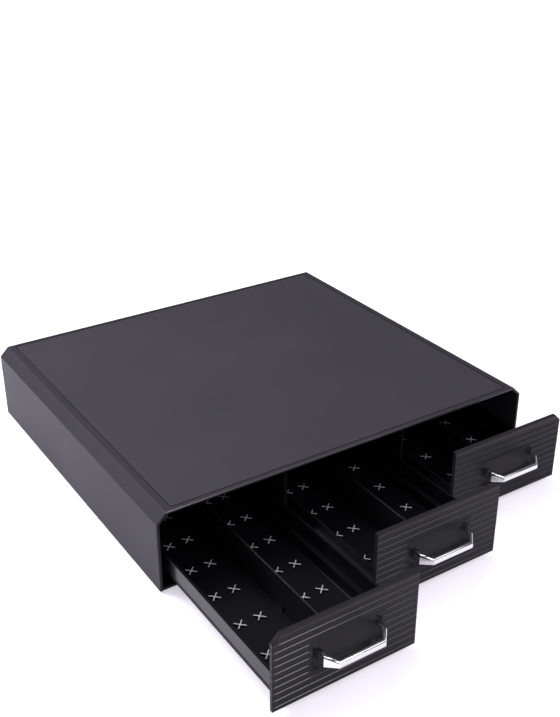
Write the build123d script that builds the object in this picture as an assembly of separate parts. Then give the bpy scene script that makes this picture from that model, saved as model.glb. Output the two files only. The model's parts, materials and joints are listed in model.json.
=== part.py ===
from build123d import *
import os

# Countertop coffee pod organiser: a low casing with three drawers side by side. All sizes in millimetres.
# X runs across the front, Y from the front to the back, Z up from the surface that the feet stand on.
# The drawers stand partly pulled out, the left one furthest. The origin is on the surface, in the middle
# of the whole length from the left drawer's handle to the screws in the back.

os.makedirs("parts", exist_ok=True)

# ---- Driving dimensions: casing ----
casing_width = 345.0
casing_depth = 309.0
casing_height = 65.5  # without the feet
casing_chamfer = 7.9
edge_softening = 0.8
rim_bevel = 0.4
side_wall = 2.4
top_plate = 2.0
base_thickness = 2.2
back_thickness = 2.4
panel_fit = 0.1  # play between a panel and the wall beside it

inlay_side_margin = 13.2
inlay_front_margin = 3.9
inlay_back_margin = 3.1
inlay_recess = 0.8
inlay_groove = 1.0
inlay_corner = 2.0

partition_thickness = 2.4
partition_setback = 13.7
guide_rib = 1.4
guide_rib_height = 4.0
cross_rib_count = 6

rail_thickness = 1.8
rail_setback = 12.0

foot_radius = 7.0
foot_stand = 1.2  # how far the feet hold the casing off the surface
foot_seat = 1.0
foot_sides = 24
foot_side_inset = 22.0
foot_end_inset = 20.0

boss_width = 6.4
boss_length = 9.0
boss_height = 10.0
boss_end_inset = 34.0

# ---- Driving dimensions: drawers ----
drawer_openings = {"left": 142.5, "middle": 97.3, "right": 48.5}  # as they stand, from closed
drawer_reach = 210.0  # from closed to the stop

fascia_thickness = 2.8
fascia_side_gap = 0.6
fascia_top_gap = 0.4
fascia_bottom_gap = 1.0
fascia_spacing = 0.8  # between neighbouring fascias
fascia_bevel = 0.35

groove_pitch = 5.4
groove_width = 1.3
groove_depth = 0.7
groove_end_margin = 1.8
groove_bottom_margin = 3.7
groove_top_margin = 7.5

scoop_width = 54.0
scoop_height = 22.4
scoop_depth = 2.6
scoop_slope = 2.3
scoop_corner = 6.0
scoop_centre = 28.9  # above the fascia's lower edge
scoop_backing = 2.4
scoop_backing_margin = 2.0

standoff_radius = 4.0
standoff_side_inset = 18.0
standoff_heights = (8.0, 19.0)  # above the fascia's lower edge

tray_inset = 3.6  # from a fascia's end to the tray's side
tray_rear_room = 21.4  # behind a closed tray
tray_height = 24.2
tray_wall = 1.8
tray_floor = 1.8
tray_lift = 2.0
band_height = 14.2  # of a side wall's outer part, above the ledge that runs on the rail
running_gap = 0.3
rail_side_gap = 0.6
floor_fillet = 1.6

pod_pitch = 34.1
locator_spread = 7.8
locator_arm = 9.2
locator_width = 0.9
locator_height = 1.5

divider_thickness = 1.6
divider_rise = 3.0  # above the tray's rim
divider_fit = 0.15
clip_wall = 1.2
clip_reach = 2.5
clip_height = 3.0
clip_length = 9.0
clip_count = 3

stop_width = 24.0
stop_thickness = 3.0
stop_gap = 0.4

handle_half_width = 24.4
handle_reach = 16.0
handle_straight = 8.2
handle_front_half = 17.8
handle_bar = 3.8
handle_foot_height = 8.2
handle_front_height = 4.8
handle_bevel = 0.7
handle_rise = 1.9  # of its middle above the scoop's

# ---- Driving dimensions: screws ----
screw_radius = 1.3
screw_play = 0.05
screw_head_radius = 2.7
screw_head_height = 1.5
screw_head_taper = 20.0  # degrees
screw_sides = 10
casing_screw_length = 9.0
fascia_screw_length = 5.6
handle_screw_length = 9.0

# ---- Levels and places that follow ----
pulled_out = max(drawer_openings.values()) + handle_reach
back = (casing_depth + pulled_out - screw_head_height) / 2
front = back - casing_depth
casing_centre = (front + back) / 2
casing_bottom = foot_stand
casing_top = casing_bottom + casing_height
ceiling = casing_top - top_plate
base_top = casing_bottom + base_thickness
inner_half = casing_width / 2 - side_wall
back_inner = back - back_thickness

# A wall of even thickness shortens the chamfer inside it by this share of the wall.
corner_share = 2 - 2**0.5
inner_chamfer = casing_chamfer - side_wall * corner_share

fascia_span = 2 * (inner_half - fascia_side_gap)
fascia_width = (fascia_span - 2 * fascia_spacing) / 3
drawer_spacing = fascia_width + fascia_spacing
fascia_bottom = base_top + fascia_bottom_gap
fascia_height = ceiling - fascia_top_gap - fascia_bottom
fascia_chamfer = inner_chamfer - fascia_side_gap * corner_share
drawer_centres = {"left": -drawer_spacing, "middle": 0.0, "right": drawer_spacing}
chamfered_corner = {"left": -1, "middle": 0, "right": 1}

tray_half = fascia_width / 2 - tray_inset
tray_inner_half = tray_half - tray_wall
rail_offset = inner_half - drawer_spacing - boss_width - panel_fit - rail_thickness / 2
lower_half = rail_offset - rail_thickness / 2 - rail_side_gap
tray_bottom = base_top + tray_lift
tray_floor_top = tray_bottom + tray_floor
tray_rim = tray_bottom + tray_height
tray_front = front + fascia_thickness + scoop_backing
tray_back = back_inner - tray_rear_room
tray_length = tray_back - tray_front
tray_inner_front = tray_front + tray_wall
tray_inner_back = tray_back - tray_wall
divider_top = tray_rim + divider_rise
compartment_centre = (divider_thickness / 2 + tray_inner_half) / 2

ledge = tray_rim - band_height
rail_top = ledge - running_gap
partition_x = drawer_spacing / 2
partition_front = front + partition_setback
rail_front = front + rail_setback

scoop_z = fascia_bottom + scoop_centre
handle_z = scoop_z + handle_rise
handle_screw_x = handle_half_width - handle_bar / 2
scoop_floor = front + scoop_depth
standoff_x = fascia_width / 2 - standoff_side_inset

lug_bottom = base_top + stop_gap
stop_top = tray_bottom - stop_gap
lug_front = tray_back - stop_thickness
open_stop_back = lug_front - drawer_reach - running_gap
closed_stop_front = tray_back + running_gap


# ---- Helpers ----
def upright(y):
    """Plane that faces the front at depth y: its axes are X and Z, and extruding goes forward."""
    return Plane.XZ.offset(-y)


def forward(sketch, y, length):
    """Extrude an upright sketch from depth y towards the front."""
    return extrude(upright(y) * sketch, amount=length, dir=(0, -1, 0))


def slab(x, y, z):
    """Box between two limits on each axis."""
    size = [high - low for low, high in (x, y, z)]
    middle = [(high + low) / 2 for low, high in (x, y, z)]
    return Pos(*middle) * Box(*size)


def around(middle, width):
    """Limits of a span of the given width about its middle."""
    return (middle - width / 2, middle + width / 2)


def facet_bar(radius, low, high, sides, taper=0):
    """Small round bar along Z, drawn with flats."""
    return Pos(0, 0, low) * extrude(RegularPolygon(radius, sides), amount=high - low, taper=taper)


def screw(length):
    """Pan-head screw with its point at z = -length, its head's underside at z = 0."""
    shank = facet_bar(screw_radius, -length, 0, screw_sides)
    return shank + facet_bar(screw_head_radius, 0, screw_head_height, screw_sides, screw_head_taper)


def pilot(length):
    """Hole for a screw's shank, a little wider than the shank and a little deeper."""
    return facet_bar(screw_radius + screw_play, -length - screw_play, screw_play, screw_sides)


def save(shape, name):
    shape.label = name
    export_step(shape, f"parts/{name}.step")


# ---- Casing ----
def casing_section(half_width, bottom, top, chamfer_leg, softening):
    """Section of the casing, with its two upper corners cut off at 45 degrees."""
    outline = Polygon(
        (-half_width, bottom),
        (half_width, bottom),
        (half_width, top - chamfer_leg),
        (half_width - chamfer_leg, top),
        (-half_width + chamfer_leg, top),
        (-half_width, top - chamfer_leg),
        align=None,
    )
    if softening:
        corners = outline.vertices().filter_by(lambda v: v.Y > bottom + chamfer_leg)
        outline = fillet(corners, softening)
    return outline


def base_screw_places():
    """Where the base is screwed to the side walls: the heads' seats, their shanks pointing up."""
    x = inner_half - boss_width / 2
    z = casing_bottom + screw_head_height
    rows = (front + boss_end_inset, casing_centre, back - boss_end_inset)
    return [Pos(side * x, y, z) * Rot(180, 0, 0) for side in (-1, 1) for y in rows]


def back_screw_places():
    """Where the back panel is screwed to the side walls: the heads' seats, their shanks pointing forward."""
    x = inner_half - boss_width / 2
    levels = (tray_rim + boss_length, ceiling - casing_chamfer - boss_length)
    return [Pos(side * x, back, z) * Rot(-90, 0, 0) for side in (-1, 1) for z in levels]


def casing_shell():
    """Top and both side walls in one moulding, open at the front, the back and below."""
    outer = casing_section(casing_width / 2, casing_bottom, casing_top, casing_chamfer, edge_softening)
    inner = casing_section(inner_half, casing_bottom - 1, ceiling, inner_chamfer, 0)
    shell = forward(outer - inner, back, casing_depth)

    recess = Rectangle(
        casing_width - 2 * inlay_side_margin, casing_depth - inlay_front_margin - inlay_back_margin
    )
    recess = fillet(recess.vertices(), inlay_corner + inlay_groove)
    recess_y = casing_centre + (inlay_front_margin - inlay_back_margin) / 2
    shell -= Pos(0, recess_y, casing_top - inlay_recess) * extrude(recess, amount=top_plate)

    front_face = shell.faces().sort_by(Axis.Y)[0]
    shell = chamfer(front_face.edges().filter_by(lambda e: e.center().Z > base_top), rim_bevel)

    # Ribs under the top: pairs that hold the partitions' upper edges, and cross ribs between them.
    rib_bottom = ceiling - guide_rib_height
    cross_span = (partition_front, back_inner)
    rib_step = (cross_span[1] - cross_span[0]) / cross_rib_count
    rib_x = inner_half - casing_chamfer
    level = (rib_bottom, ceiling)
    half_slot = partition_thickness / 2 + panel_fit
    ribs = []
    for i in range(cross_rib_count):
        y = cross_span[0] + rib_step * (i + 0.5)
        ribs.append(slab((-rib_x, rib_x), around(y, guide_rib), level))
    for x in (-partition_x, partition_x):
        ribs.append(slab(around(x, 2 * (half_slot + guide_rib)), cross_span, level))
    slots = [slab(around(x, 2 * half_slot), cross_span, level) for x in (-partition_x, partition_x)]

    # Screw bosses along the foot of each wall, and at its rear end for the back panel.
    low_bosses = (base_top, base_top + boss_height)
    rear_bosses = (back_inner - boss_height, back_inner)
    bosses = []
    for place in base_screw_places():
        at = place.position
        bosses.append(slab(around(at.X, boss_width), around(at.Y, boss_length), low_bosses))
    for place in back_screw_places():
        at = place.position
        bosses.append(slab(around(at.X, boss_width), rear_bosses, around(at.Z, boss_length)))
    holes = [place * pilot(casing_screw_length) for place in base_screw_places() + back_screw_places()]
    return shell + ribs + bosses - slots - holes


def top_inlay():
    """Textured sheet that lies in the top's recess, with a narrow groove left round it."""
    sheet = Rectangle(
        casing_width - 2 * (inlay_side_margin + inlay_groove),
        casing_depth - inlay_front_margin - inlay_back_margin - 2 * inlay_groove,
    )
    sheet = fillet(sheet.vertices(), inlay_corner)
    sheet_y = casing_centre + (inlay_front_margin - inlay_back_margin) / 2
    return Pos(0, sheet_y, casing_top - inlay_recess) * extrude(sheet, amount=inlay_recess)


def back_panel():
    """Rear wall, set between the side walls, under the top and over the full height."""
    outline = casing_section(
        inner_half - panel_fit,
        casing_bottom,
        ceiling - panel_fit,
        inner_chamfer - panel_fit * corner_share,
        0,
    )
    panel = forward(outline, back, back_thickness)
    return panel - [place * pilot(casing_screw_length) for place in back_screw_places()]


def base_plate():
    """Floor of the casing with the drawers' six rails, the partitions' seats and the drawer stops."""
    section = Pos(0, casing_bottom + base_thickness / 2) * Rectangle(
        2 * (inner_half - panel_fit), base_thickness
    )
    plate = forward(section, back_inner, back_inner - front - rim_bevel)

    rails = Sketch()
    rail_rise = rail_top - base_top
    for centre in drawer_centres.values():
        for side in (-1, 1):
            rail = Rectangle(rail_thickness, rail_rise, align=(Align.CENTER, Align.MIN))
            rails += Pos(centre + side * rail_offset, base_top) * rail
    plate += forward(rails, back_inner, back_inner - rail_front)

    seats = Sketch()
    half_slot = partition_thickness / 2 + panel_fit
    for side in (-1, 1):
        for sign in (-1, 1):
            seat = Rectangle(guide_rib, guide_rib_height, align=(Align.CENTER, Align.MIN))
            seats += Pos(side * partition_x + sign * (half_slot + guide_rib / 2), base_top) * seat
    plate += forward(seats, back_inner, back_inner - partition_front)

    level = (base_top, stop_top)
    stops = []
    for centre in drawer_centres.values():
        x = around(centre, stop_width)
        stops.append(slab(x, (open_stop_back - stop_thickness, open_stop_back), level))
        stops.append(slab(x, (closed_stop_front, closed_stop_front + stop_thickness), level))

    head_pocket = facet_bar(screw_head_radius + screw_play, 0, 2 * screw_head_height, screw_sides)
    foot_pocket = facet_bar(foot_radius + panel_fit, 0, foot_stand + foot_seat, foot_sides)
    holes = [place * pilot(casing_screw_length) for place in base_screw_places()]
    holes += [place * head_pocket for place in base_screw_places()]
    holes += [place * foot_pocket for place in foot_places().values()]
    return plate + stops - holes


def partition():
    """Upright wall between two bays, held by the ribs of the base and of the top."""
    half = partition_thickness / 2
    return slab((-half, half), (partition_front, back_inner), (base_top, ceiling))


def foot_places():
    """Where the four feet stand, on the surface."""
    x = casing_width / 2 - foot_side_inset
    ends = {"front": front + foot_end_inset, "rear": back - foot_end_inset}
    sides = {"left": -x, "right": x}
    return {f"{end}_{side}": Pos(sides[side], ends[end], 0) for end in ends for side in sides}


def foot():
    """Round rubber foot, its upper part in a pocket of the base."""
    disc = facet_bar(foot_radius, 0, foot_stand + foot_seat, foot_sides)
    return chamfer(disc.faces().sort_by(Axis.Z)[0].edges(), foot_stand / 2)


# ---- Drawers: each piece is built closed, centred on X = 0 ----
def fascia(corner):
    """Grooved front plate. corner -1 or 1 cuts off its upper left or right corner, beside the casing's."""
    outline = Pos(0, fascia_bottom) * Rectangle(
        fascia_width, fascia_height, align=(Align.CENTER, Align.MIN)
    )
    if corner:
        diamond = Rot(0, 0, 45) * Rectangle(fascia_chamfer * 2**0.5, fascia_chamfer * 2**0.5)
        outline -= Pos(corner * fascia_width / 2, fascia_bottom + fascia_height) * diamond
    plate = forward(outline, front + fascia_thickness, fascia_thickness)
    plate = chamfer(plate.faces().sort_by(Axis.Y)[0].edges(), fascia_bevel)

    scoop_mouth = RectangleRounded(scoop_width, scoop_height, scoop_corner)
    scoop_bed = RectangleRounded(
        scoop_width - 2 * scoop_slope, scoop_height - 2 * scoop_slope, scoop_corner / 2
    )

    # V grooves run the full width, but for a smooth field at the scoop. The highest starts further in
    # at a cut-off corner.
    notch = Polygon((groove_depth, 0), (0, groove_width / 2), (0, -groove_width / 2), align=None)
    room = fascia_height - groove_bottom_margin - groove_top_margin
    lowest = fascia_bottom + groove_bottom_margin
    levels = [lowest + i * groove_pitch for i in range(int(room / groove_pitch) + 1)]
    half_length = fascia_width / 2 - groove_end_margin
    low, high = (Sketch() + [Pos(front, z) * notch for z in span] for span in (levels[:-1], levels[-1:]))
    grooves = extrude(Plane.YZ * low, amount=half_length, both=True)
    top_shift = fascia_chamfer / 4
    grooves += Pos(-corner * top_shift, 0, 0) * extrude(
        Plane.YZ * high, amount=half_length - abs(corner) * top_shift, both=True
    )
    smooth = forward(Pos(0, scoop_z) * scoop_mouth, scoop_floor, 2 * scoop_depth)
    plate -= grooves - smooth

    backing = RectangleRounded(
        scoop_width + 2 * scoop_backing_margin - 2 * scoop_slope,
        scoop_height + 2 * scoop_backing_margin - 2 * scoop_slope,
        scoop_corner / 2,
    )
    pillar = RegularPolygon(standoff_radius, screw_sides)
    pillars = [Pos(p.position.X, p.position.Z) * pillar for p in fascia_screw_places()]
    plate += forward(Pos(0, scoop_z) * backing + pillars, tray_front, scoop_backing)

    scoop = loft(
        [
            (upright(front) * Pos(0, scoop_z) * scoop_mouth).face(),
            (upright(scoop_floor) * Pos(0, scoop_z) * scoop_bed).face(),
        ],
        ruled=True,
    )
    holes = [place * pilot(fascia_screw_length) for place in fascia_screw_places()]
    holes += [place * pilot(handle_screw_length) for place in handle_screw_places()]
    return plate - scoop - holes


def fascia_screw_places():
    """Screws from inside the tray's front wall into the fascia: the heads' seats."""
    heights = [fascia_bottom + rise for rise in standoff_heights]
    points = [(x, tray_inner_front, z) for x in (-standoff_x, standoff_x) for z in heights]
    return [Pos(*point) * Rot(-90, 0, 0) for point in points]


def handle_screw_places():
    """Screws from behind the scoop into the handle's feet: the heads' seats."""
    return [Pos(side * handle_screw_x, tray_front, handle_z) * Rot(-90, 0, 0) for side in (-1, 1)]


def tray():
    """Open tray. Each long side steps out above the rail, and the ledge so made runs on the rail's top."""
    outside = [
        (lower_half, tray_bottom),
        (lower_half, ledge),
        (tray_half, ledge),
        (tray_half, tray_rim),
    ]
    inside = [
        (lower_half - tray_wall, tray_floor_top),
        (lower_half - tray_wall, ledge + tray_wall),
        (tray_inner_half, ledge + tray_wall),
        (tray_inner_half, tray_rim + tray_wall),
    ]
    block, hollow = (
        Polygon(*half, *[(-x, z) for x, z in reversed(half)], align=None) for half in (outside, inside)
    )
    floor_corners = hollow.vertices().filter_by(lambda v: v.Y < tray_floor_top + running_gap)
    hollow = fillet(floor_corners, floor_fillet)
    body = forward(block, tray_back, tray_length)
    body -= forward(hollow, tray_inner_back, tray_inner_back - tray_inner_front)
    pieces = [slab(around(0, stop_width), (lug_front, tray_back), (lug_bottom, tray_bottom))]

    # Crossed ribs on the floor between neighbouring pod seats.
    arm = Rectangle(locator_arm, locator_width)
    cross = Rot(0, 0, 45) * arm + Rot(0, 0, -45) * arm
    seats = int((tray_inner_back - tray_inner_front) / pod_pitch)
    columns = [
        side * compartment_centre + offset
        for side in (-1, 1)
        for offset in (-locator_spread, locator_spread)
    ]
    rows = [tray_inner_front + i * pod_pitch for i in range(1, seats)]
    crosses = Sketch() + [Pos(x, y) * cross for x in columns for y in rows]
    pieces.append(Pos(0, 0, tray_floor_top) * extrude(crosses, amount=locator_height))

    # Clips that hold the divider at both ends and along the floor.
    clip_x = divider_thickness / 2 + divider_fit + clip_wall / 2
    inner_length = tray_inner_back - tray_inner_front
    full = (tray_floor_top, tray_rim - tray_wall)
    low = (tray_floor_top, tray_floor_top + clip_height)
    for x in (around(-clip_x, clip_wall), around(clip_x, clip_wall)):
        pieces.append(slab(x, (tray_inner_front, tray_inner_front + clip_reach), full))
        pieces.append(slab(x, (tray_inner_back - clip_reach, tray_inner_back), full))
        for i in range(1, clip_count + 1):
            y = tray_inner_front + inner_length * i / (clip_count + 1)
            pieces.append(slab(x, around(y, clip_length), low))

    return body + pieces - [place * pilot(fascia_screw_length) for place in fascia_screw_places()]


def divider():
    """Lengthwise wall that splits a tray into two rows."""
    half = divider_thickness / 2
    length = (tray_inner_front + divider_fit, tray_inner_back - divider_fit)
    plate = slab((-half, half), length, (tray_floor_top, divider_top))
    upper = plate.edges().filter_by(Axis.Y).filter_by(lambda e: e.center().Z > tray_rim)
    return chamfer(upper, divider_thickness / 5)


def mitre(corner, before, after):
    """Where the bar's inner face turns, for an outer corner between two neighbouring points."""
    along = (corner - before).normalized()
    onward = (after - corner).normalized()
    first = Vector(-along.Y, along.X)
    second = Vector(-onward.Y, onward.X)
    return corner + (first + second) * (handle_bar / (1 + first.dot(second)))


def handle_section(outer, inner, height):
    """Upright section of the bar between an outer and an inner point, with all four corners bevelled."""
    width = (inner - outer).length
    bevel_x = handle_bevel * width / handle_bar
    edge = [
        (x * (width / 2 - dx), y * (height / 2 - dy))
        for x, y, first in ((-1, -1, True), (1, -1, False), (1, 1, True), (-1, 1, False))
        for dx, dy in (((0, handle_bevel), (bevel_x, 0)) if first else ((bevel_x, 0), (0, handle_bevel)))
    ]
    middle = (outer + inner) / 2
    across = (inner - outer).normalized()
    facing = Plane(Vector(middle.X, middle.Y, handle_z), x_dir=across, z_dir=Vector(across.Y, -across.X, 0))
    return facing * Polygon(*edge, align=None)


def handle():
    """Bent pull: two feet on the scoop's bed, two slanted shoulders that taper, and a straight bar."""
    left = [
        Vector(-handle_half_width, scoop_floor),
        Vector(-handle_half_width, front - handle_straight),
        Vector(-handle_front_half, front - handle_reach),
    ]
    outer = left + [Vector(-p.X, p.Y) for p in reversed(left)]
    foot_step = Vector(handle_bar, 0)
    inner = [outer[0] + foot_step]
    inner += [mitre(outer[i], outer[i - 1], outer[i + 1]) for i in range(1, len(outer) - 1)]
    inner += [outer[-1] - foot_step]
    half_heights = [handle_foot_height, handle_foot_height, handle_front_height]
    heights = half_heights + half_heights[::-1]
    sections = [handle_section(*at) for at in zip(outer, inner, heights)]
    pull = loft([section.face() for section in sections], ruled=True)
    return pull - [place * pilot(handle_screw_length) for place in handle_screw_places()]


# ---- Write the pieces ----
save(casing_shell(), "casing_shell")
save(top_inlay(), "top_inlay")
save(back_panel(), "back_panel")
save(base_plate(), "base_plate")
for side, name in ((-1, "left"), (1, "right")):
    save(Pos(side * partition_x, 0, 0) * partition(), f"partition_{name}")
for name, place in foot_places().items():
    save(place * foot(), f"foot_{name}")

casing_screw = screw(casing_screw_length)
save(Compound([place * casing_screw for place in base_screw_places()]), "base_screws")
save(Compound([place * casing_screw for place in back_screw_places()]), "back_screws")

# The three drawers differ only in their fascias.
fascia_screw = screw(fascia_screw_length)
handle_screw = screw(handle_screw_length)
shared = {
    "tray": tray(),
    "divider": divider(),
    "handle": handle(),
    "fascia_screws": Compound([place * fascia_screw for place in fascia_screw_places()]),
    "handle_screws": Compound([place * handle_screw for place in handle_screw_places()]),
}
for name, opening in drawer_openings.items():
    stand = Pos(drawer_centres[name], -opening, 0)
    save(stand * fascia(chamfered_corner[name]), f"{name}_fascia")
    for piece, shape in shared.items():
        save(stand * shape, f"{name}_{piece}")
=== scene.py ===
"""Looks of the three-drawer countertop pod organiser: finishes, fine shapes, light and camera.

All sizes are in metres, in the same frame as the CAD model: X to the right, Y to the back, Z up.
"""

import json
import math

import bmesh
import bpy
from mathutils import Matrix, Vector

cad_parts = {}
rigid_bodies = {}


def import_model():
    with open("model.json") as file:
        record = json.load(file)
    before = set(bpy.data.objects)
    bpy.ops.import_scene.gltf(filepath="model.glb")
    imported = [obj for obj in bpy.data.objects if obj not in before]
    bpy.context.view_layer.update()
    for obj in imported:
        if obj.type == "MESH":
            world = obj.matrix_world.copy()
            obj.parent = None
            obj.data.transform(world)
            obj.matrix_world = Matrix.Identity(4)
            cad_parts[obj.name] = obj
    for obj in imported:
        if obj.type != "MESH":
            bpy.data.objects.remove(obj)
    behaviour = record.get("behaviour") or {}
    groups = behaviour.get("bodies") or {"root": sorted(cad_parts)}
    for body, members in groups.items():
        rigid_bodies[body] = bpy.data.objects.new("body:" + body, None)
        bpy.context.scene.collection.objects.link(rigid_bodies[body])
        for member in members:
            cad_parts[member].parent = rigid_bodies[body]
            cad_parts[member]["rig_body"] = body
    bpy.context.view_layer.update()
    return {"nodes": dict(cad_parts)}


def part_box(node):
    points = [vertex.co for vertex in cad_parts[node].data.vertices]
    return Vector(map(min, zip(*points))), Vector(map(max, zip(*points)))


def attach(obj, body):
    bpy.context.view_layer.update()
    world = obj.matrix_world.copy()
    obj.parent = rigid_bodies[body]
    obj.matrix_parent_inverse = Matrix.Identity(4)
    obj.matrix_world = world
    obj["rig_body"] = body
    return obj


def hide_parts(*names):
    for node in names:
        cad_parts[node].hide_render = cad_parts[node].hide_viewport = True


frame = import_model()

DRAWERS = ("left", "middle", "right")

# ---- Moulded features that the finishes and the roundings follow ----
shell_low, shell_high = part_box("casing_shell")
FRONT = shell_low.y
LIP_TOP = shell_high.z
LIP_DEPTH = 0.0012
LIP_HEIGHT = 0.0011

fascia_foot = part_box("middle_fascia")[0].z
GROOVE_LOWEST = fascia_foot + 0.0037
GROOVE_PITCH = 0.0054
GROOVE_HALF = 0.00065
SCOOP_MIDDLE = fascia_foot + 0.0289
SCOOP_DEPTH = 0.0026
SCOOP_HALF = Vector((0.0286, 0.0129))  # to just outside the edge of its mouth
SMOOTH_HALF = Vector((0.0295, 0.0128))  # of the field round the scoop that has no polish

tray_low, tray_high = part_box("middle_tray")
tray_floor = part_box("middle_divider")[0].z  # which the divider stands on
TRAY_HALF = (tray_high.x - tray_low.x) / 2
TRAY_LOWER_HALF = TRAY_HALF - 0.0047
TRAY_RIM = tray_high.z
TRAY_LEDGE = TRAY_RIM - 0.0142
RIB_TOP = tray_floor + 0.0015
ROW_MIDDLE = 0.0258  # of a row of pods, from the divider
ROW_SEATS_HALF = 0.013  # to just outside the crossed ribs on either side of that middle

# ---- Sizes of the modelled pieces ----
WELD = 0.000002  # CAD corners nearer than this are one
TURNED_WELD = 0.0000005  # the same for a turned shape
RIB_LEVEL = 0.00002  # a corner this near to the ribs' tops lies on them
SCOOP_LEVEL = 0.00003  # the same for the scoop's mouth and bed
FINE_RADIUS = 0.00018

SCREW_HEAD = 0.0027
SCREW_HEAD_HEIGHT = 0.0015
SCREW_SHANK = 0.0013
SCREW_CORE = 0.00095
SCREW_PITCH = 0.0009
SCREW_POINT = 0.0012
SCREW_RECESS = 0.0009

PULL_BAR = 0.0038
PULL_FOOT_RISE = 0.0041  # half the height of the feet and shoulders
PULL_BAR_RISE = 0.0024  # half the height of the straight bar
PULL_SLANT = 0.0078  # how far back from the bar's face the shoulders slant
PULL_NARROWING = 0.0066  # how far the shoulders lean in at each end
FOOT_MITRE = 0.0015  # how far behind the outer corner over a foot the inner one lies
BAR_MITRE = 0.0018  # how far in from the outer corner at an end of the bar the inner one lies


# ---- Shader expressions ----
class Value:
    """A node's output. Arithmetic on it adds Math nodes to the same finish."""

    def __init__(self, finish, socket):
        self.finish = finish
        self.socket = socket

    def math(self, operation, *operands):
        return self.finish.node(
            "ShaderNodeMath", {"operation": operation}, dict(enumerate(operands))
        )

    def __add__(self, other):
        return self.math("ADD", self, other)

    def __radd__(self, other):
        return self.math("ADD", other, self)

    def __sub__(self, other):
        return self.math("SUBTRACT", self, other)

    def __rsub__(self, other):
        return self.math("SUBTRACT", other, self)

    def __mul__(self, other):
        return self.math("MULTIPLY", self, other)

    def __rmul__(self, other):
        return self.math("MULTIPLY", other, self)

    def __mod__(self, other):
        return self.math("FLOORED_MODULO", self, other)

    def __abs__(self):
        return self.math("ABSOLUTE", self)

    def __gt__(self, other):
        return self.math("GREATER_THAN", self, other)

    def __lt__(self, other):
        return self.math("LESS_THAN", self, other)

    def __or__(self, other):
        return self.math("MAXIMUM", self, other)

    def clamped(self):
        return self.math("MINIMUM", self.math("MAXIMUM", self, 0.0), 1.0)


class Finish:
    """A material, or the world's light, under construction."""

    def __init__(self, name, slot=None, world=False):
        self.holder = (bpy.data.worlds if world else bpy.data.materials).new(name)
        self.holder.use_nodes = True
        self.tree = self.holder.node_tree
        self.tree.nodes.clear()
        if slot:
            self.holder["slot"] = slot

    def node(self, kind, settings=None, inputs=None, output=0):
        """Add a node: first its settings, then values or links. Gives one of its outputs."""
        made = self.tree.nodes.new(kind)
        for key, value in (settings or {}).items():
            if key == "stops":
                self.set_stops(made.color_ramp, value)
            else:
                setattr(made, key, value)
        for key, value in (inputs or {}).items():
            if isinstance(key, int):
                socket = made.inputs[key]
            else:
                socket = next(s for s in made.inputs if key in (s.identifier, s.name))
            if isinstance(value, Value):
                self.tree.links.new(value.socket, socket)
            else:
                socket.default_value = value
        return Value(self, made.outputs[output]) if made.outputs else None

    @staticmethod
    def set_stops(ramp, stops):
        while len(ramp.elements) < len(stops):
            ramp.elements.new(0.5)
        for element, (position, colour) in zip(ramp.elements, stops):
            element.position = position
            element.color = colour

    def place(self):
        """Where a point is on the object, in metres."""
        return self.node("ShaderNodeTexCoord", output="Object")

    def along(self, place, axis):
        return self.node("ShaderNodeSeparateXYZ", inputs={"Vector": place}, output=axis)

    def ray(self, kind):
        return self.node("ShaderNodeLightPath", output=kind)

    def scaled(self, place, scale):
        """The place with each axis stretched by its own factor."""
        return self.node("ShaderNodeMapping", inputs={"Vector": place, "Scale": scale})

    def noise(self, place, scale, detail=2.0):
        inputs = {"Vector": place, "Scale": scale, "Detail": detail}
        return self.node("ShaderNodeTexNoise", inputs=inputs)

    def cells(self, place, scale):
        """How far a point is from the middle of its cell in a random mosaic."""
        return self.node("ShaderNodeTexVoronoi", inputs={"Vector": place, "Scale": scale})

    def ramp(self, value, *stops):
        """Shape a value with straight steps between (position, result) stops."""
        grey = [(position, (level, level, level, 1.0)) for position, level in stops]
        return self.node("ShaderNodeValToRGB", {"stops": grey}, {"Fac": value})

    def blend(self, factor, first, second):
        return self.node(
            "ShaderNodeMix",
            {"data_type": "RGBA"},
            {"Factor_Float": factor, "A_Color": first, "B_Color": second},
            output=2,
        )

    def bump(self, height, distance):
        return self.node("ShaderNodeBump", inputs={"Height": height, "Distance": distance})

    def surface(self, **sockets):
        """Close the finish with a Principled shader and give the material."""
        named = {key.replace("_", " "): value for key, value in sockets.items()}
        shader = self.node("ShaderNodeBsdfPrincipled", inputs=named)
        self.node("ShaderNodeOutputMaterial", inputs={"Surface": shader})
        return self.holder


def tone(red, green, blue):
    """Linear colour for values from 0 to 255 as a screen shows them."""
    levels = [c / 255 for c in (red, green, blue)]
    linear = [c / 12.92 if c <= 0.04045 else ((c + 0.055) / 1.055) ** 2.4 for c in levels]
    return (*linear, 1.0)


# ---- Finishes ----
def moulded_black(
    name, slot, dark, light, grain, grain_depth, rough, sheen, polish=None, painted_highlight=None
):
    """Black moulded plastic with a fine spark-eroded grain and faint flow clouds.

    polish gives, for a finish and a place, how far the surface is polished there; the last
    argument gives how far it is painted pale there as a painted highlight.
    """
    finish = Finish(name, slot)
    place = finish.place()
    cloud = finish.noise(place, 14.0, detail=4.0)
    speck = finish.noise(place, grain)
    pits = finish.cells(place, grain * 0.7)
    colour = finish.blend((cloud * 0.5 + speck * 0.5).clamped(), dark, light)
    # a pale painted highlight, blended in where the last argument asks for it
    if painted_highlight:
        colour = finish.blend(painted_highlight(finish, place), colour, tone(196, 194, 204))
    sockets = {
        "Base_Color": colour,
        "Roughness": (rough - 0.07) + cloud * 0.09 + speck * 0.05,
        "Specular_IOR_Level": sheen,
        "Normal": finish.bump(speck * 0.6 + pits * 0.4, grain_depth),
    }
    if polish:
        sockets["Coat_Weight"] = polish(finish, place)
        sockets["Coat_Roughness"] = 0.14
    return finish.surface(**sockets)


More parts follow.
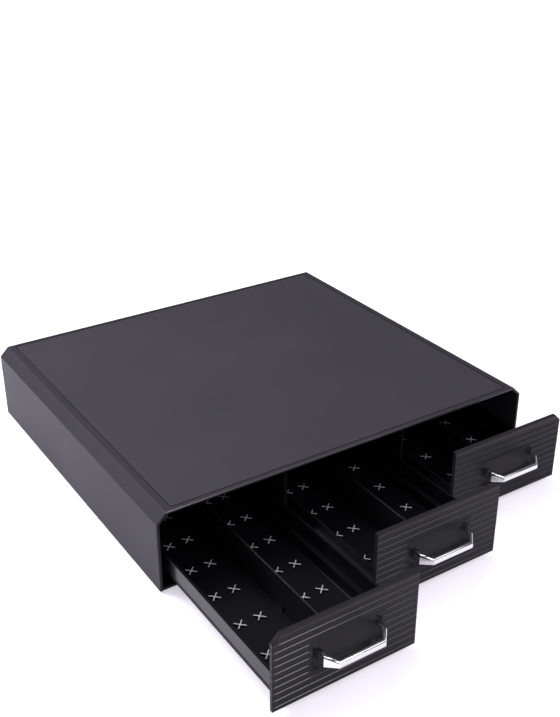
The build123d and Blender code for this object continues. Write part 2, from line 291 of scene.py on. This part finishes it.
def lip_polish(finish, place):
    """The upper edge of the casing's front, where two parts of the mould leave it bright."""
    y, z = finish.along(place, "Y"), finish.along(place, "Z")
    return (y < FRONT + LIP_DEPTH) * (z > LIP_TOP - LIP_HEIGHT) * 0.9


def groove_polish(centre):
    """The outer half of each groove's lower flank in a drawer's front, but not by the scoop."""

    def polish(finish, place):
        x, z = finish.along(place, "X"), finish.along(place, "Z")
        rise = (z - GROOVE_LOWEST) % GROOVE_PITCH
        from_edge = rise > GROOVE_PITCH - GROOVE_HALF - 0.0001
        to_halfway = rise < GROOVE_PITCH - GROOVE_HALF * 0.5
        beside = (abs(x - centre) > SMOOTH_HALF.x) | (abs(z - SCOOP_MIDDLE) > SMOOTH_HALF.y)
        return from_edge * to_halfway * beside

    return polish


def tray_polish(centre):
    """A tray's polished side bands and crossed ribs. The rest of it is matt."""

    def polish(finish, place):
        x, z = finish.along(place, "X"), finish.along(place, "Z")
        aside = abs(x - centre)
        ribs = (aside < TRAY_LOWER_HALF - 0.0003) * (abs(z - RIB_TOP) < 0.0009)
        outside = aside > TRAY_HALF - 0.0004
        band = outside * (z > TRAY_LEDGE + 0.0024) * (z < TRAY_RIM - 0.0004)
        return (band | ribs) * 0.65

    return polish


def rib_painted_highlight(centre):
    """Tops of the crossed ribs among the pods' seats, painted pale as a painted highlight."""

    def painted_highlight(finish, place):
        x, z = finish.along(place, "X"), finish.along(place, "Z")
        among_seats = abs(abs(x - centre) - ROW_MIDDLE) < ROW_SEATS_HALF
        # painted highlight on the rib tops among the pods' seats
        top = (abs(z - RIB_TOP) < 0.0003) * among_seats
        return top * (0.55 + finish.noise(place, 260.0) * 0.6).clamped()

    return painted_highlight


def chrome():
    """Plated zinc: bright, with a slight cloudiness and hairlines along the bar."""
    finish = Finish("handle_chrome", "chrome")
    place = finish.place()
    cloud = finish.noise(place, 60.0, detail=3.0)
    hairline = finish.noise(finish.scaled(place, (90.0, 900.0, 2600.0)), 1.0)
    return finish.surface(
        Base_Color=finish.blend(cloud, tone(238, 239, 240), tone(250, 250, 251)),
        Metallic=1.0,
        Roughness=0.05 + cloud * 0.05 + hairline * 0.04,
        Normal=finish.bump(hairline, 0.000004),
    )


def plated_steel():
    """Zinc-plated screw steel with small tarnished patches."""
    finish = Finish("screw_zinc", "screw_steel")
    place = finish.place()
    patch = finish.ramp(finish.noise(place, 420.0, detail=4.0), (0.38, 0.0), (0.66, 1.0))
    scratch = finish.noise(place, 3000.0)
    return finish.surface(
        Base_Color=finish.blend(patch, tone(176, 178, 184), tone(128, 126, 124)),
        Metallic=1.0,
        Roughness=0.26 + patch * 0.2,
        Normal=finish.bump(scratch, 0.00001),
    )


def foot_rubber():
    """Matt rubber with a chalky bloom and a fine pebble."""
    finish = Finish("foot_rubber", "foot_rubber")
    place = finish.place()
    bloom = finish.noise(place, 240.0, detail=4.0)
    pebble = finish.cells(place, 1500.0)
    return finish.surface(
        Base_Color=finish.blend(bloom, tone(30, 30, 31), tone(52, 52, 54)),
        Roughness=0.74 + bloom * 0.14,
        Specular_IOR_Level=0.3,
        Normal=finish.bump(pebble, 0.00004),
    )


def dress(finish, *nodes):
    """Give CAD nodes a finish."""
    for node in nodes:
        piece = frame["nodes"][node]
        piece.data.materials.clear()
        piece.data.materials.append(finish)


# ---- Tools for modelled pieces ----
def add_piece(bm, name, node, finish, smooth_below=40.0):
    """Make a mesh a piece that stands for a CAD node and rides on the node's body."""
    for face in bm.faces:
        face.smooth = True
    for edge in bm.edges:
        paired = len(edge.link_faces) == 2
        edge.smooth = paired and edge.calc_face_angle() < math.radians(smooth_below)
    mesh = bpy.data.meshes.new(name)
    bm.to_mesh(mesh)
    bm.free()
    piece = bpy.data.objects.new(name, mesh)
    piece.data.materials.append(finish)
    bpy.context.scene.collection.objects.link(piece)
    even = piece.modifiers.new("even_normals", "WEIGHTED_NORMAL")
    even.keep_sharp = True
    even.weight = 100
    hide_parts(node)
    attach(piece, frame["nodes"][node]["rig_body"])
    return piece


def merged_copy(node):
    """The node's triangles joined into a closed mesh of flat faces."""
    bm = bmesh.new()
    bm.from_mesh(frame["nodes"][node].data)
    bmesh.ops.remove_doubles(bm, verts=bm.verts, dist=WELD)
    bmesh.ops.dissolve_limit(
        bm, angle_limit=math.radians(1.0), verts=bm.verts, edges=bm.edges
    )
    return bm


def round_edges(bm, edges, width, segments=2):
    """Round the edges that an earlier rounding has left."""
    bmesh.ops.bevel(
        bm,
        geom=[edge for edge in edges if edge.is_valid],
        offset=width,
        offset_type="OFFSET",
        segments=segments,
        profile=0.5,
        affect="EDGES",
        material=-1,
        clamp_overlap=True,
    )


def sharp_edges(bm, shortest, angle=30.0):
    """Edges where two faces meet at more than an angle, but for very short ones."""
    return [
        edge
        for edge in bm.edges
        if len(edge.link_faces) == 2
        and edge.calc_face_angle() > math.radians(angle)
        and edge.calc_length() > shortest
    ]


def turned(outline, steps):
    """Outline of (radius, height) points turned about Z."""
    bm = bmesh.new()
    verts = [bm.verts.new((radius, 0.0, height)) for radius, height in outline]
    edges = [bm.edges.new(pair) for pair in zip(verts, verts[1:])]
    bmesh.ops.spin(
        bm,
        geom=verts + edges,
        cent=(0, 0, 0),
        axis=(0, 0, 1),
        angle=math.tau,
        steps=steps,
        use_merge=True,
    )
    bmesh.ops.remove_doubles(bm, verts=bm.verts, dist=TURNED_WELD)
    return bm


# ---- Modelled pieces ----
def softened(node, name, finish, width, shortest):
    """A node's own shape with its sharp edges rounded, as a mould leaves them."""
    bm = merged_copy(node)
    round_edges(bm, sharp_edges(bm, shortest), width)
    return add_piece(bm, name, node, finish)


def front_of(drawer, finish):
    """A drawer's front. The scoop runs out softly and the other edges have a fine radius."""
    node = f"{drawer}_fascia"
    low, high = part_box(node)
    centre = (low.x + high.x) / 2
    bm = merged_copy(node)

    def near_scoop(vert):
        aside, above = abs(vert.co.x - centre), abs(vert.co.z - SCOOP_MIDDLE)
        return aside < SCOOP_HALF.x and above < SCOOP_HALF.y

    def scoop_edges(y):
        def at_depth(vert):
            return near_scoop(vert) and abs(vert.co.y - y) < SCOOP_LEVEL

        creases = sharp_edges(bm, shortest=0.0, angle=15.0)
        return [edge for edge in creases if all(map(at_depth, edge.verts))]

    mouth = scoop_edges(low.y)
    bed = scoop_edges(low.y + SCOOP_DEPTH)
    others = [edge for edge in sharp_edges(bm, shortest=0.0006) if edge not in mouth + bed]
    round_edges(bm, others, FINE_RADIUS)
    round_edges(bm, mouth, width=0.0010, segments=4)
    round_edges(bm, bed, width=0.0014, segments=4)
    return add_piece(bm, f"{drawer}_front", node, finish)


def bin_of(drawer, finish):
    """A drawer's tray. Its crossed ribs have round tops and its other edges a fine radius."""
    node = f"{drawer}_tray"
    bm = merged_copy(node)

    def on_rib(vert):
        return abs(vert.co.z - RIB_TOP) < RIB_LEVEL

    crests = [edge for edge in sharp_edges(bm, shortest=0.0007) if all(map(on_rib, edge.verts))]
    others = [edge for edge in sharp_edges(bm, shortest=0.0006) if not any(map(on_rib, edge.verts))]
    round_edges(bm, crests, width=0.00032, segments=3)
    round_edges(bm, others, FINE_RADIUS)
    return add_piece(bm, f"{drawer}_bin", node, finish)


def pull(drawer, finish):
    """Cast pull: two feet, two tapering shoulders and a bar, with soft bevels along every edge."""
    node = f"{drawer}_handle"
    low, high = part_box(node)
    centre = (low.x + high.x) / 2
    middle = (low.z + high.z) / 2
    half = (high.x - low.x) / 2
    shoulder = low.y + PULL_SLANT
    end = -half + PULL_NARROWING
    stations = [
        # outer x, outer y, inner x, inner y, half height, each x from the pull's middle
        (-half, high.y, -half + PULL_BAR, high.y, PULL_FOOT_RISE),
        (-half, shoulder, -half + PULL_BAR, shoulder + FOOT_MITRE, PULL_FOOT_RISE),
        (end, low.y, end + BAR_MITRE, low.y + PULL_BAR, PULL_BAR_RISE),
    ]
    stations += [(-a, b, -c, d, e) for a, b, c, d, e in stations[::-1]]
    bm = bmesh.new()
    loops = []
    crown = []
    inner_crown = []
    for outer_x, outer_y, inner_x, inner_y, rise in stations:
        corners = [
            (centre + outer_x, outer_y, middle - rise),
            (centre + outer_x, outer_y, middle + rise),
            (centre + inner_x, inner_y, middle + rise),
            (centre + inner_x, inner_y, middle - rise),
        ]
        verts = [bm.verts.new(corner) for corner in corners]
        crown.append(verts[1])
        inner_crown.append(verts[2])
        loops.append([bm.edges.new((verts[i], verts[(i + 1) % 4])) for i in range(4)])
    across = [edge for loop in loops for edge in loop]
    for first, second in zip(loops, loops[1:]):
        bmesh.ops.bridge_loops(bm, edges=first + second)
    for foot_loop in (loops[0], loops[-1]):
        bmesh.ops.contextual_create(bm, geom=foot_loop)
    bmesh.ops.recalc_face_normals(bm, faces=bm.faces)
    runs = [edge for edge in bm.edges if edge not in across]
    brow = [edge for edge in runs if all(vert in crown for vert in edge.verts)]
    nape = [edge for edge in runs if all(vert in inner_crown for vert in edge.verts)]
    others = [edge for edge in runs if edge not in brow + nape]
    round_edges(bm, brow, width=0.0019, segments=6)
    round_edges(bm, nape, width=0.0013, segments=5)
    round_edges(bm, others, width=0.0007, segments=4)
    return add_piece(bm, f"{drawer}_pull", node, finish, smooth_below=24.0)


def solids_of(node):
    """Lowest and highest corner of each separate solid in a node."""
    bm = merged_copy(node)
    waiting = set(bm.verts)
    boxes = []
    while waiting:
        island = [waiting.pop()]
        for vert in island:
            for edge in vert.link_edges:
                other = edge.other_vert(vert)
                if other in waiting:
                    waiting.discard(other)
                    island.append(other)
        low = Vector([min(vert.co[axis] for vert in island) for axis in range(3)])
        high = Vector([max(vert.co[axis] for vert in island) for axis in range(3)])
        boxes.append((low, high))
    bm.free()
    return boxes


def screw_outline(length):
    """(radius, height) points of a pan-head screw from its point up to the flat of its head."""
    level = -length + SCREW_POINT
    outline = [(0.0, -length), (SCREW_CORE * 0.5, -length), (SCREW_CORE, level)]
    while level < -2 * SCREW_PITCH:
        outline += [(SCREW_SHANK, level + SCREW_PITCH / 2), (SCREW_CORE, level + SCREW_PITCH)]
        level += SCREW_PITCH
    outline += [(SCREW_CORE, 0.0), (SCREW_HEAD * 0.96, 0.0)]
    rounding = [(1.0, 0.12), (0.99, 0.45), (0.9, 0.8), (0.74, 1.0)]
    return outline + [(SCREW_HEAD * out, SCREW_HEAD_HEIGHT * up) for out, up in rounding]


def screw_blank(length):
    """Screw along Z, its head up: turned, with a cross recess sunk in the head."""
    bm = turned(screw_outline(length), steps=24)

    def on_top(edge):
        return all(vert.co.z > SCREW_HEAD_HEIGHT * 0.99 for vert in edge.verts)

    rim = [edge for edge in bm.edges if edge.is_boundary and on_top(edge)]
    arm, half = SCREW_HEAD * 0.6, SCREW_HEAD * 0.13
    cross = [(half, half), (half, arm), (-half, arm), (-half, half), (-arm, half), (-arm, -half)]
    cross += [(-x, -y) for x, y in cross]
    mouth = [bm.verts.new((x, y, SCREW_HEAD_HEIGHT)) for x, y in cross]
    lip = [bm.edges.new(pair) for pair in zip(mouth, mouth[1:] + mouth[:1])]
    bmesh.ops.bridge_loops(bm, edges=rim + lip)
    sunk = bmesh.ops.extrude_edge_only(bm, edges=lip)["geom"]
    bottom = [part for part in sunk if isinstance(part, bmesh.types.BMVert)]
    for vert in bottom:
        vert.co = (vert.co.x * 0.62, vert.co.y * 0.62, SCREW_HEAD_HEIGHT - SCREW_RECESS)
    bed = [
        part
        for part in sunk
        if isinstance(part, bmesh.types.BMEdge) and all(vert in bottom for vert in part.verts)
    ]
    bmesh.ops.contextual_create(bm, geom=bed)
    bmesh.ops.recalc_face_normals(bm, faces=bm.faces)
    return bm


def screws(node, turn, finish):
    """A turned screw for each solid of a node. turn takes the head from +Z to where it points."""
    bm = bmesh.new()
    ahead = turn @ Vector((0, 0, 1))
    for low, high in solids_of(node):
        length = max(high - low)
        blank = screw_blank(length - SCREW_HEAD_HEIGHT)
        seat = (low + high) / 2 + ahead * (length / 2 - SCREW_HEAD_HEIGHT)
        place = Matrix.Translation(seat) @ turn.to_4x4()
        bmesh.ops.transform(blank, matrix=place, verts=blank.verts)
        part = bpy.data.meshes.new("blank")
        blank.to_mesh(part)
        blank.free()
        bm.from_mesh(part)
        bpy.data.meshes.remove(part)
    return add_piece(bm, f"{node}_turned", node, finish)


def foot_pad(node, finish):
    """Turned rubber foot with a soft lower edge and a shallow suction ring."""
    low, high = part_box(node)
    radius = (high.x - low.x) / 2
    ring_depth = 0.0007
    outline = [
        (0.0, ring_depth),
        (radius * 0.38, ring_depth),
        (radius * 0.44, 0.0),
        (radius * 0.86, 0.0),
        (radius * 0.95, 0.00015),
        (radius, 0.0006),
        (radius, high.z - low.z),
        (0.0, high.z - low.z),
    ]
    bm = turned([(out, low.z + up) for out, up in outline], steps=48)
    bmesh.ops.recalc_face_normals(bm, faces=bm.faces)
    middle = ((low.x + high.x) / 2, (low.y + high.y) / 2, 0.0)
    bmesh.ops.translate(bm, vec=middle, verts=bm.verts)
    return add_piece(bm, f"{node}_pad", node, finish)


# ---- Studio ----
def studio_white(name, seen, mirrored):
    """White floor that takes the object's soft shadow.

    seen and mirrored give how much it glows for the camera and in mirror images.
    """
    finish = Finish(name)
    place = finish.place()
    away = finish.node(
        "ShaderNodeVectorMath", {"operation": "LENGTH"}, {"Vector": place}, output="Value"
    )
    shown = finish.ray("Is Camera Ray") * (seen + ((away - 0.4) * 0.9).clamped() * 0.5)
    mirrors = finish.ray("Is Glossy Ray") + finish.ray("Is Transmission Ray")
    tint = finish.blend(finish.noise(place, 3.0), tone(235, 233, 241), tone(238, 236, 243))
    diffuse = finish.node("ShaderNodeBsdfDiffuse", inputs={"Color": tint})
    glow = finish.node(
        "ShaderNodeEmission",
        inputs={"Color": (1.0, 0.985, 1.04, 1.0), "Strength": shown + mirrors * mirrored},
    )
    both = finish.node("ShaderNodeAddShader", inputs={0: diffuse, 1: glow})
    finish.node("ShaderNodeOutputMaterial", inputs={"Surface": both})
    return finish.holder


def floor():
    bm = bmesh.new()
    bmesh.ops.create_grid(bm, x_segments=1, y_segments=1, size=8.0)
    mesh = bpy.data.meshes.new("floor")
    bm.to_mesh(mesh)
    bm.free()
    ground = bpy.data.objects.new("floor", mesh)
    ground.data.materials.append(studio_white("floor_white", seen=0.5, mirrored=0.2))
    bpy.context.scene.collection.objects.link(ground)


def softbox(name, place, aim, size, power):
    """Rectangular studio lamp at a place, turned to a point."""
    lamp = bpy.data.lights.new(name, "AREA")
    lamp.shape = "RECTANGLE"
    lamp.size, lamp.size_y = size
    lamp.energy = power
    lamp.color = (0.97, 0.95, 1.0)
    holder = bpy.data.objects.new(name, lamp)
    holder.location = place
    holder.rotation_euler = (Vector(aim) - Vector(place)).to_track_quat("-Z", "Y").to_euler()
    bpy.context.scene.collection.objects.link(holder)


def room_light(level):
    """Even light from all round. Camera and mirrors see a white sweep below a dim ceiling."""
    sky = Finish("studio", world=True)
    direction = sky.node("ShaderNodeTexCoord", output="Generated")
    ceiling = sky.node(
        "ShaderNodeMapRange",
        inputs={
            "Value": sky.along(direction, "Z"),
            "From Min": 0.0,
            "From Max": 0.17,
            "To Min": 1.0,
            "To Max": 0.13,
        },
    )
    seen = sky.ray("Is Camera Ray")
    mirrored = (sky.ray("Is Glossy Ray") + sky.ray("Is Transmission Ray")).clamped()
    strength = seen + (1.0 - seen) * (mirrored * ceiling + (1.0 - mirrored) * level)
    background = sky.node(
        "ShaderNodeBackground", inputs={"Color": (1.03, 1.0, 1.1, 1.0), "Strength": strength}
    )
    sky.node("ShaderNodeOutputWorld", inputs={"Surface": background})
    bpy.context.scene.world = sky.holder


def camera():
    """The photograph's view: high to the left, with a 52 mm lens on a 36 mm long side."""
    view = bpy.data.cameras.new("camera")
    view.lens = 52.37
    view.sensor_width = 36.0
    view.sensor_fit = "AUTO"
    view.clip_start = 0.01
    holder = bpy.data.objects.new("camera", view)
    place = Vector((-0.42287, -0.61486, 0.48552))
    target = Vector((0.10024, 0.18592, 0.0012))
    holder.location = place
    holder.rotation_euler = (target - place).to_track_quat("-Z", "Y").to_euler()
    bpy.context.scene.collection.objects.link(holder)
    bpy.context.scene.camera = holder


# ---- The whole scene ----
bpy.context.scene.view_settings.view_transform = "Standard"
camera()
floor()
room_light(0.42)
drawer_fronts = (-0.1, -0.2, 0.03)
softbox("lamp_overhead", (-0.2, 0.35, 1.3), (0.0, 0.05, 0.0), (1.2, 0.9), power=9.0)
softbox("lamp_left", (-0.62, 0.62, 0.74), (-0.25, 0.3, 0.0), (0.42, 0.42), power=7.0)
softbox("lamp_front", (0.17, -0.87, 0.86), drawer_fronts, (0.36, 0.5), power=3.0)
softbox("lamp_front_fill", (0.56, -0.8, 0.86), drawer_fronts, (0.4, 0.5), power=0.9)

casing_finish = moulded_black(
    "casing_black",
    "casing_plastic",
    tone(46, 44, 50),
    tone(55, 53, 60),
    grain=900.0,
    grain_depth=0.00005,
    rough=0.46,
    sheen=0.2,
    polish=lip_polish,
)
inlay_finish = moulded_black(
    "inlay_black",
    "inlay",
    tone(44, 42, 48),
    tone(62, 60, 66),
    grain=620.0,
    grain_depth=0.0001,
    rough=0.6,
    sheen=0.35,
)
inner_finish = moulded_black(
    "inner_black",
    "inner_plastic",
    tone(12, 12, 15),
    tone(17, 17, 20),
    grain=1500.0,
    grain_depth=0.00003,
    rough=0.5,
    sheen=0.3,
)
wall_finish = moulded_black(
    "row_wall_black",
    "tray_plastic",
    tone(14, 14, 17),
    tone(20, 20, 24),
    grain=1300.0,
    grain_depth=0.00002,
    rough=0.45,
    sheen=0.25,
)
metal = chrome()
zinc = plated_steel()
rubber = foot_rubber()
to_the_back = Matrix.Rotation(math.radians(-90), 3, "X")
downwards = Matrix.Rotation(math.radians(180), 3, "X")

dress(inner_finish, "back_panel", "base_plate", "partition_left", "partition_right")
softened("casing_shell", "casing_moulding", casing_finish, width=0.0003, shortest=0.0006)
softened("top_inlay", "inlay_sheet", inlay_finish, width=0.00035, shortest=0.0)
screws("base_screws", downwards, zinc)
screws("back_screws", to_the_back, zinc)
for foot in ("front_left", "front_right", "rear_left", "rear_right"):
    foot_pad(f"foot_{foot}", rubber)
for drawer in DRAWERS:
    low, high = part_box(f"{drawer}_tray")
    centre = (low.x + high.x) / 2
    fascia_finish = moulded_black(
        f"{drawer}_fascia_black",
        "fascia_plastic",
        tone(33, 32, 36),
        tone(41, 40, 44),
        grain=1700.0,
        grain_depth=0.00002,
        rough=0.36,
        sheen=0.13,
        polish=groove_polish(centre),
    )
    tray_finish = moulded_black(
        f"{drawer}_tray_black",
        "tray_plastic",
        tone(10, 10, 13),
        tone(15, 15, 19),
        grain=1300.0,
        grain_depth=0.00001,
        rough=0.4,
        sheen=0.12,
        polish=tray_polish(centre),
        # pale painted highlight on the crossed ribs' tops
        painted_highlight=rib_painted_highlight(centre),
    )
    front_of(drawer, fascia_finish)
    bin_of(drawer, tray_finish)
    softened(f"{drawer}_divider", f"{drawer}_row_wall", wall_finish, width=0.0002, shortest=0.0)
    pull(drawer, metal)
    screws(f"{drawer}_fascia_screws", to_the_back, zinc)
    screws(f"{drawer}_handle_screws", to_the_back, zinc)
